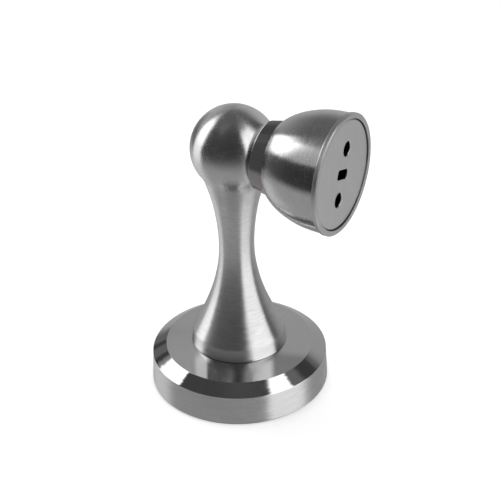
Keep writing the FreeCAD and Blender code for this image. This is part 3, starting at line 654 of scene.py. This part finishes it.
ZINC = dict(light=rgb(0.62, 0.63, 0.64), dark=rgb(0.44, 0.45, 0.46), rough=0.34)
BLACK = dict(light=rgb(0.075, 0.075, 0.08), dark=rgb(0.03, 0.03, 0.033), rough=0.40, mottle=0.9)
NICKEL_CUP = dict(
    light=rgb(0.66, 0.63, 0.58), dark=rgb(0.55, 0.52, 0.47), rough=0.20, mottle=0.4, ring=0.15
)
NICKEL_MAGNET = dict(
    light=rgb(0.70, 0.68, 0.64), dark=rgb(0.58, 0.56, 0.52), rough=0.13, mottle=0.3, ring=0.30
)
SLEEVE = dict(
    light=rgb(0.035, 0.035, 0.037), dark=rgb(0.018, 0.018, 0.019), rough=0.42, grain=2.2
)
BUSH = dict(light=rgb(0.80, 0.79, 0.76), dark=rgb(0.70, 0.69, 0.655), rough=0.38, grain=1.8)
BUMPER = dict(
    light=rgb(0.040, 0.039, 0.038), dark=grey(0.020), rough=0.68, grain=3.0, sheen=0.15
)

give(base_steel(), "base_flange")
give(column_steel(), "column")
give(cup_steel(), "catch_cup")
give(plate_steel(), "mounting_plate")
give(strike_chrome(), "strike_disc")
give(
    plated("zinc_steel_upright", "Z", **ZINC),
    "floor_plate", "column_lock_washer", "column_flat_washer",
)
give(
    plated("zinc_steel_catch", "X", **ZINC),
    "spring_seat_washer", "strike_screw", "stop_washer",
)
give(plated("black_steel_bolt", "Z", **BLACK), "column_bolt")
give(plated("black_steel_grub", "X", **BLACK), "base_grub_screw")
give(plated("nickel_pole_cup", "X", **NICKEL_CUP), "magnet_pole_cup")
give(plated("nickel_magnet", "X", **NICKEL_MAGNET), "magnet")
give(moulded("sleeve_plastic_black", **SLEEVE), "magnet_sleeve")
give(moulded("bush_plastic_white", **BUSH), "guide_bush")
give(moulded("bumper_rubber_black", **BUMPER), "bumper_ring")


def add_object(name, bm):
    mesh = bpy.data.meshes.new(name)
    bm.to_mesh(mesh)
    bm.free()
    piece = bpy.data.objects.new(name, mesh)
    scene.collection.objects.link(piece)
    return piece


# ------------------------------------------------------------------ buffer spring
WIRE_RADIUS = 0.0004
COIL_RADIUS = 0.0070  # to the middle of the wire
STEPS_PER_TURN = 72
WIRE_SIDES = 14
SPRING_TURNS = 4.0 + 2.0  # active turns, and a closed turn at each end
CLOSED_PITCH = 2.08 * WIRE_RADIUS


def spring_steel():
    material, graph = new_material("spring_steel_wire")
    place = graph.place_mm()
    mottle = graph.noise(place, scale=1.6, detail=4.0, rough=0.6)
    drawn = graph.noise(graph.stretch(place, scale=(9.0, 0.8, 0.8)), rough=0.6)
    tone = (mottle * 0.5 + drawn * 0.5).above(0.35, 0.65)
    colour = tone.pick_colour(off=rgb(0.36, 0.36, 0.37), on=rgb(0.56, 0.56, 0.57))
    rough = 0.26 + mottle.ramp(BLOTCHES, -0.05, 0.07)
    principled(
        graph, colour=colour, metal=1.0, rough=rough, normal=drawn.bump(0.2, depth=0.00001)
    )
    return material


def ease(x):
    x = max(0.0, min(1.0, x))
    return x * x * (3 - 2 * x)


def coil_stations(start, end):
    """X of the wire's middle at each step: closed end turns, open turns between."""
    steps = int(STEPS_PER_TURN * SPRING_TURNS)
    openness = [
        ease((i / STEPS_PER_TURN - 0.75) / 0.5)
        * ease((SPRING_TURNS - 0.75 - i / STEPS_PER_TURN) / 0.5)
        for i in range(steps)
    ]
    spare = end - start - CLOSED_PITCH * SPRING_TURNS
    extra_pitch = spare / (sum(openness) / STEPS_PER_TURN)
    stations = [start]
    for share in openness:
        stations.append(stations[-1] + (CLOSED_PITCH + extra_pitch * share) / STEPS_PER_TURN)
    return stations


def buffer_spring():
    low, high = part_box("buffer_spring")
    stations = coil_stations(low.x + WIRE_RADIUS, high.x - WIRE_RADIUS)
    last = len(stations) - 1
    bm = bmesh.new()
    rings = []
    for i, x in enumerate(stations):
        angle = 2 * math.pi * i / STEPS_PER_TURN
        cosine, sine = math.cos(angle), math.sin(angle)
        centre = Vector((x, COIL_RADIUS * cosine, CATCH_AXIS_Z + COIL_RADIUS * sine))
        outward = Vector((0, cosine, sine))
        advance = stations[min(i + 1, last)] - stations[max(i - 1, 0)]
        slope = advance / (2 * 2 * math.pi / STEPS_PER_TURN * COIL_RADIUS)
        along = Vector((slope, -sine, cosine)).normalized()
        side = along.cross(outward).normalized()
        ring = []
        for k in range(WIRE_SIDES):
            turn = 2 * math.pi * k / WIRE_SIDES
            point = centre + WIRE_RADIUS * (math.cos(turn) * outward + math.sin(turn) * side)
            point.x = min(max(point.x, low.x), high.x)
            ring.append(bm.verts.new(point))
        rings.append(ring)
    for ring, following in zip(rings, rings[1:]):
        for k in range(WIRE_SIDES):
            j = (k + 1) % WIRE_SIDES
            bm.faces.new((ring[k], ring[j], following[j], following[k]))
    bm.faces.new(rings[0][::-1])
    bm.faces.new(rings[-1])
    bmesh.ops.recalc_face_normals(bm, faces=bm.faces)
    coil = add_object("buffer_spring_coil", bm)
    for polygon in coil.data.polygons:
        polygon.use_smooth = len(polygon.vertices) == 4
    coil.data.materials.append(spring_steel())
    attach(coil, "door_unit")
    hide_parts("buffer_spring")
    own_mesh(coil)


buffer_spring()

# ------------------------------------------------------------------ studio
CAMERA_AZIMUTH = math.radians(-61.03)
PALE = grey(0.965)


def studio_world():
    """Plain pale surround for the camera, dim even fill for matt surfaces."""
    world = bpy.data.worlds.new("studio")
    scene.world = world
    world.use_nodes = True
    graph = Graph(world.node_tree)
    fill = graph.add("ShaderNodeBackground", {"Color": grey(0.42), "Strength": 1.0})
    pale = graph.add("ShaderNodeBackground", {"Color": PALE, "Strength": 1.0})
    camera_ray = graph.add("ShaderNodeLightPath", out="Is Camera Ray")
    shader = graph.add("ShaderNodeMixShader", {0: camera_ray, 1: fill, 2: pale})
    graph.add("ShaderNodeOutputWorld", {"Surface": shader})


studio_world()


# The tent's cards are laid by azimuth and elevation in degrees. Azimuth 0 is at the
# camera and grows to its right. Card values are light strengths; x, y, z are in mm.
def tent_view(graph):
    """Where on the tent a ray lands, and which part of the product it left."""
    direction = graph.vector_math("NORMALIZE", graph.object_place())
    x, y, z = graph.split(direction)
    front = (math.cos(CAMERA_AZIMUTH), math.sin(CAMERA_AZIMUTH))
    right = (-front[1], front[0])
    forward = x * front[0] + y * front[1]
    sideways = x * right[0] + y * right[1]
    sine = graph.math("MINIMUM", graph.math("MAXIMUM", z, -1.0), 1.0)
    view = SimpleNamespace()
    view.azimuth = graph.math("DEGREES", graph.math("ARCTAN2", sideways, forward))
    view.elevation = graph.math("DEGREES", graph.math("ARCSINE", sine))
    view.away = graph.math("ABSOLUTE", view.azimuth)

    # the point the ray left
    here = graph.add("ShaderNodeNewGeometry", out="Position")
    back = graph.add("ShaderNodeNewGeometry", out="Incoming")
    length = graph.add("ShaderNodeLightPath", out="Ray Length")
    origin = graph.vector_math("ADD", here, graph.vector_math("SCALE", back, scale=length))
    x, y, z = graph.split(graph.vector_math("SCALE", origin, scale=MM_PER_METRE))
    view.x, view.z = x, z
    view.across = x * right[0] + y * right[1]
    view.ahead = x * front[0] + y * front[1]
    view.high = z.above(54.0, 57.0)
    view.on_disc = x.band(9.00, 13.83, soft=0.03) * view.high
    view.on_bell = x.above(13.80, 13.86) * view.high
    view.on_base = z.below(12.9, 13.4)
    view.on_base_top = view.on_base * z.above(11.40, 11.46)
    view.on_column = (1.0 - view.on_base) * (1.0 - (view.on_disc | view.on_bell))
    view.on_stem = view.on_column * z.below(55.0, 63.0)
    view.on_ball = view.on_column * view.high
    view.on_plate = x.above(32.0, 32.1) * view.high
    rise = z - CATCH_AXIS_Z * MM_PER_METRE
    from_axis = graph.math("SQRT", y * y + rise * rise)
    view.on_magnet = x.band(8.82, 9.045, soft=0.02) * from_axis.below(9.2, 9.4)
    # the closed chamber at the +X end of the catch
    view.in_chamber = x.band(21.85, 31.95, soft=0.05) * from_axis.below(13.6, 13.8)
    return view


def dark_front(view):
    """Dark front, lighter overhead and high on the left."""
    front = view.on_base.pick(off=0.050, on=0.066)
    overhead = view.high.pick(off=0.125, on=0.115)
    light = view.elevation.above(58.0, 84.0).pick(off=front, on=overhead)
    shifted = view.azimuth + view.on_base * 30.0
    high_left = shifted.below(-62.0, -40.0) * view.elevation.above(50.0, 62.0)
    return high_left.pick(off=light, on=0.19)


def card_behind(view, light):
    """Grey card behind, darker as it climbs."""

    def by_part(rest, catch, ball):
        return view.on_ball.pick(off=view.high.pick(off=rest, on=catch), on=ball)

    climb = view.elevation.above(by_part(8.0, 12.0, 18.0), by_part(34.0, 60.0, 62.0))
    upper = view.high.pick(off=0.155, on=0.125)
    behind = climb.pick(off=by_part(0.40, 0.47, 0.56), on=upper)
    middle = view.away.above(150.0, 172.0) * climb
    behind = middle.pick(off=behind, on=view.high.pick(off=0.25, on=0.145))
    # as the base top sees it: in front of the foot the two soft boxes come back by
    # way of the foot, as stripes drawn out towards the camera
    foot = view.across.above(-13.2, -11.4).pick(off=0.36, on=0.70)
    for start, end, level in ((-9.6, -8.6, 0.085), (1.9, 3.9, 0.85), (8.0, 10.2, 0.27)):
        foot = view.across.above(start, end).pick(off=foot, on=level)
    card = view.ahead.above(7.0, 11.0).pick(off=0.41, on=foot)
    seen_by_top = view.on_base_top * view.away.above(120.0, 145.0)
    behind = seen_by_top.pick(off=behind, on=card)
    return view.away.above(94.0, 132.0).pick(off=light, on=behind)


def side_cards(view, light):
    """Dim cards on the right and a panel with two dark seams low at the left rear."""
    azimuth, elevation = view.azimuth, view.elevation
    side = azimuth.band(86.0, 103.0, soft=3.0) * elevation.band(26.0, 58.0, soft=7.0)
    light = side.pick(off=light, on=0.17)
    dim = azimuth.band(103.0, 127.0, soft=5.0) * elevation.band(22.0, 52.0, soft=7.0)
    light = dim.pick(off=light, on=0.055)
    panel = azimuth.band(-158.0, -124.0, soft=4.0) * elevation.band(-14.0, 15.0, soft=4.0)
    light = panel.pick(off=light, on=0.155)
    seams = azimuth.band(-131.0, -126.0, soft=1.5) | azimuth.band(-143.0, -139.0, soft=1.5)
    seams = seams * elevation.band(-14.0, 15.0, soft=4.0)
    return seams.pick(off=light, on=0.06)


def table(view, light):
    """Table below, its horizon set for each part of the product."""

    def by_part(rest, base, bell, stem):
        lower = view.on_bell.pick(off=view.on_base.pick(off=rest, on=base), on=bell)
        return view.on_stem.pick(off=lower, on=stem)

    level = view.away.above(110.0, 165.0).pick(off=0.385, on=0.44)
    upper_stem = view.on_stem * view.z.above(32.0, 46.0)
    level = level * upper_stem.pick(off=view.on_ball.pick(off=1.0, on=1.12), on=1.28)
    start = by_part(rest=-26.0, base=-31.0, bell=-15.0, stem=-28.0)
    end = by_part(rest=-4.5, base=-9.0, bell=-2.0, stem=-4.0)
    math_node = view.z.graph.math
    climb = math_node("MAXIMUM", 0.0, (view.elevation - start) / (end - start))
    on_table = 1.0 - math_node("SMOOTH_MIN", 1.0, climb, 0.1)
    return on_table.pick(off=light, on=level)


def left_box(view, light):
    """Left soft box, broad above and narrow at table height. The catch sees it cut
    off by a flag along its lower edge."""
    azimuth, elevation = view.azimuth, view.elevation
    low = elevation.below(2.0, 22.0)
    outer = elevation.above(16.0, 46.0).pick(off=-121.0, on=-137.0)
    inner = elevation.above(24.0, 50.0).pick(off=-91.0, on=-103.0)
    box = azimuth.band(outer, inner, soft=2.0) * elevation.band(-22.0, 50.0, soft=5.0)
    box = box * (1.0 - view.on_bell)
    lower_stem = view.on_stem * view.z.below(22.0, 36.0)
    level = low.pick(off=2.0, on=1.2) * lower_stem.pick(off=1.0, on=1.3)
    light = box.pick(off=light, on=level)

    # box, side card and dark strip for the catch
    flag = azimuth.ramp((-130.0, -84.0), 13.0, 28.0)
    outer = elevation.ramp((14.0, 52.0), -147.0, -121.0)
    inner = elevation.ramp((20.0, 55.0), -97.0, -84.0)
    top = azimuth.ramp((-124.0, -86.0), 47.0, 58.0)
    box = azimuth.band(outer, inner, soft=2.5) * elevation.band(flag, top, soft=2.0)
    light = (box * view.on_bell).pick(off=light, on=2.35)
    bottom = azimuth.ramp((-88.0, -50.0), 27.0, 38.0)
    side = azimuth.band(-88.0, -42.0, soft=5.0) * elevation.band(bottom, 66.0, soft=3.0)
    level = azimuth.ramp((-88.0, -58.0), 0.43, 0.46) + azimuth.ramp((-58.0, -48.0), 0.0, 0.34)
    light = (side * view.on_bell).pick(off=light, on=level)
    dark = azimuth.band(-118.0, -38.0, soft=3.0) * elevation.band(-5.0, flag - 0.5, soft=2.5)
    level = azimuth.ramp((-112.0, -66.0), 0.125, 0.034)
    light = (dark * view.on_bell).pick(off=light, on=level)

    table_glow = azimuth.band(-146.0, -98.0, soft=9.0) * elevation.band(-50.0, -20.0, soft=8.0)
    return table_glow.pick(off=light, on=0.72)


def right_box(view, light):
    """Right soft box and its glow on the table."""
    azimuth, elevation, on_stem = view.azimuth, view.elevation, view.on_stem
    inner = azimuth.above(on_stem.pick(off=28.0, on=14.0), on_stem.pick(off=32.0, on=33.0))
    top = elevation.below(
        view.on_column.pick(off=58.8, on=63.0), view.on_column.pick(off=61.6, on=66.0)
    )
    box = inner * azimuth.below(86.0, 90.0) * (elevation.above(-34.0, -26.0) * top)
    light = box.pick(off=light, on=on_stem.pick(off=1.75, on=1.42))
    table_glow = azimuth.band(33.0, 85.0, soft=5.0) * elevation.band(-52.0, -27.0, soft=7.0)
    return table_glow.pick(off=light, on=1.02)


def catch_cards(view, light):
    """Cards and shade for the plate, the magnet, the strike disc and the chamber."""
    azimuth, elevation = view.azimuth, view.elevation
    light = light * view.on_plate.pick(off=1.0, on=1.18)
    # a grey card squarely in front of the mounting plate and the magnet
    facing = azimuth.band(24.0, 84.0, soft=5.0) * elevation.band(-42.0, 46.0, soft=8.0)
    level = azimuth.ramp((30.0, 88.0), 0.42, 0.70) + elevation.ramp((-30.0, 40.0), -0.10, 0.14)
    light = (facing * (view.on_plate | view.on_magnet)).pick(off=light, on=level)
    # the disc is shaded, but for a bright rear card near its -X face
    capped = view.z.graph.math("MINIMUM", light, 0.42)
    shaded = capped * elevation.above(-20.0, -5.0).pick(off=0.8, on=0.42) | 0.10
    rear = elevation.above(14.0, 24.0) * view.away.above(92.0, 104.0)
    shaded = (view.x.below(9.85, 10.0) * rear).pick(off=shaded, on=1.4)
    light = view.on_disc.pick(off=light, on=shaded)
    return light * view.in_chamber.pick(off=1.0, on=0.04)


def light_tent():
    """A small product tent round the object, seen by reflections only."""
    bm = bmesh.new()
    bmesh.ops.create_uvsphere(bm, u_segments=96, v_segments=48, radius=0.22)
    tent = add_object("light_tent", bm)
    for polygon in tent.data.polygons:
        polygon.use_smooth = True
    tent.location = (0.005, 0.0, 0.050)
    material, graph = new_material("light_tent_card")
    material.cycles.emission_sampling = "FRONT_BACK"
    view = tent_view(graph)
    light = dark_front(view)
    for lay in (card_behind, side_cards, table, left_box, right_box, catch_cards):
        light = lay(view, light)
    colour = graph.add("ShaderNodeCombineColor", {0: light, 1: light, 2: light})
    shader = graph.add("ShaderNodeEmission", {"Color": colour, "Strength": 1.0})
    graph.add("ShaderNodeOutputMaterial", {"Surface": shader})
    tent.data.materials.append(material)
    for ray in ("camera", "diffuse", "transmission", "volume_scatter", "shadow"):
        setattr(tent, "visible_" + ray, False)


light_tent()

FLOOR_RADII = (0.03, 0.06, 0.12, 0.25, 0.5, 1.0, 2.0, 4.0)
FLOOR_SEGMENTS = 64


def pale_paper():
    """Lit paper near the product that fades into the pale surround."""
    material, graph = new_material("pale_paper")
    place = graph.object_place()
    x, y, _ = graph.split(place)
    radius = graph.math("SQRT", x * x + y * y)
    tooth = graph.noise(place, scale=900.0)
    colour = tooth.pick_colour(off=grey(0.60), on=grey(0.62))
    ins = {"Color": colour, "Normal": tooth.bump(0.05, depth=0.0001)}
    diffuse = graph.add("ShaderNodeBsdfDiffuse", ins)
    glow = graph.add("ShaderNodeEmission", {"Color": grey(1.0), "Strength": 0.50})
    near = graph.add("ShaderNodeAddShader", {0: diffuse, 1: glow})
    far = graph.add("ShaderNodeEmission", {"Color": PALE, "Strength": 1.0})
    shown = graph.add("ShaderNodeMixShader", {0: radius.above(0.10, 0.34), 1: near, 2: far})
    camera_ray = graph.add("ShaderNodeLightPath", out="Is Camera Ray")
    other = graph.add("ShaderNodeBsdfDiffuse", {"Color": grey(0.7)})
    shader = graph.add("ShaderNodeMixShader", {0: camera_ray, 1: other, 2: shown})
    graph.add("ShaderNodeOutputMaterial", {"Surface": shader})
    return material


def studio_floor():
    bm = bmesh.new()
    centre = bm.verts.new((0, 0, 0))
    inner = None
    for radius in FLOOR_RADII:
        outer = []
        for k in range(FLOOR_SEGMENTS):
            angle = 2 * math.pi * k / FLOOR_SEGMENTS
            outer.append(bm.verts.new((radius * math.cos(angle), radius * math.sin(angle), 0)))
        for k in range(FLOOR_SEGMENTS):
            j = (k + 1) % FLOOR_SEGMENTS
            if inner is None:
                bm.faces.new((centre, outer[k], outer[j]))
            else:
                bm.faces.new((inner[k], outer[k], outer[j], inner[j]))
        inner = outer
    paper = add_object("studio_floor", bm)
    paper.location = (0, 0, -0.00004)
    paper.data.materials.append(pale_paper())
    paper.visible_glossy = False


studio_floor()


def soft_light(name, place, aim, size, power):
    data = bpy.data.lights.new(name, "AREA")
    data.shape = "DISK"
    data.size = size
    data.energy = power
    lamp = bpy.data.objects.new(name, data)
    lamp.location = place
    lamp.rotation_mode = "QUATERNION"
    lamp.rotation_quaternion = (Vector(aim) - Vector(place)).to_track_quat("-Z", "Y")
    scene.collection.objects.link(lamp)
    lamp.visible_glossy = False


soft_light("overhead_softbox", place=(-0.10, 0.10, 0.80), aim=(0, 0, 0), size=0.55, power=4.2)
soft_light("side_softbox", place=(0.55, -0.25, 0.55), aim=(0, 0, 0.03), size=0.45, power=1.2)

# ------------------------------------------------------------------ camera
CAMERA_PLACE = (0.229124, -0.4064332, 0.3395105)
CAMERA_AXES = (
    (0.880822, 0.473028, -0.019905),  # right
    (-0.239927, 0.482219, 0.842555),  # up
    (0.408151, -0.737366, 0.538242),  # back, away from the product
)

camera_data = bpy.data.cameras.new("camera")
camera_data.lens = 144.0
camera_data.sensor_width = 36.0
camera_data.clip_start = 0.01
camera_data.clip_end = 20.0
camera = bpy.data.objects.new("camera", camera_data)
scene.collection.objects.link(camera)
camera_turn = Matrix(CAMERA_AXES).transposed().to_4x4()
camera.matrix_world = Matrix.Translation(CAMERA_PLACE) @ camera_turn
scene.camera = camera
